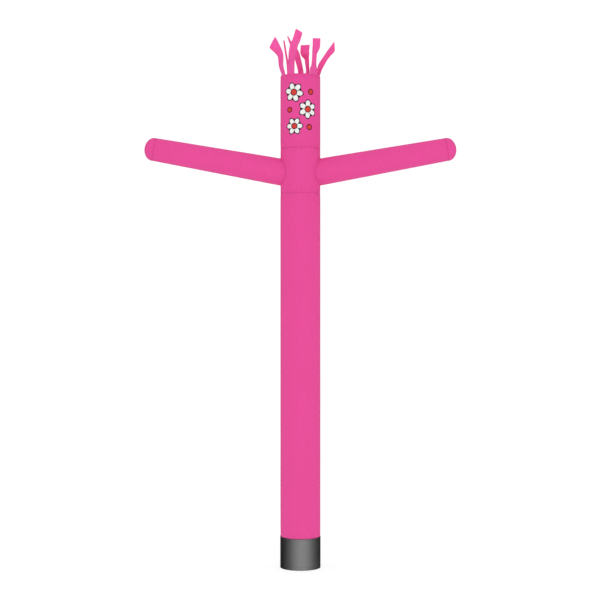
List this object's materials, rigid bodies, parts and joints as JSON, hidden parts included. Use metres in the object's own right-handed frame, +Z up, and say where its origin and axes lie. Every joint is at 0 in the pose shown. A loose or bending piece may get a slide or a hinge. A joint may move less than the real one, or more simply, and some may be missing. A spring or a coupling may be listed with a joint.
{
  "type": "inflatable air dancer",
  "caption": "Tall inflated nylon tube on a black base cuff, with raised tapered arms, a ribbon fringe round its open top and flowers printed on its head.",
  "frame": {"origin": "centre of the cuff's lower rim, on the ground", "axes": "+Z up the tube, +X along the arm on the right of the front view, -Y the front"},
  "size_m": [3.5632, 0.4715, 6.1221],
  "materials": {
    "pink_nylon": "bright pink ripstop nylon, satin, with a fine square grid",
    "black_coated_cloth": "black coated cloth with a broad soft shine",
    "white_ink": "white screen-print ink on the nylon",
    "black_ink": "black screen-print ink on the nylon",
    "red_ink": "red screen-print ink on the nylon"
  },
  "bodies": {
    "root": {"tube_body": "pink_nylon", "tube_shoulders": "pink_nylon", "tube_head": "pink_nylon", "arm_left": "pink_nylon", "arm_end_left": "pink_nylon", "arm_right": "pink_nylon", "arm_end_right": "pink_nylon", "hair_fringe": "pink_nylon", "base_cuff": "black_coated_cloth"}
  },
  "joints": []
}
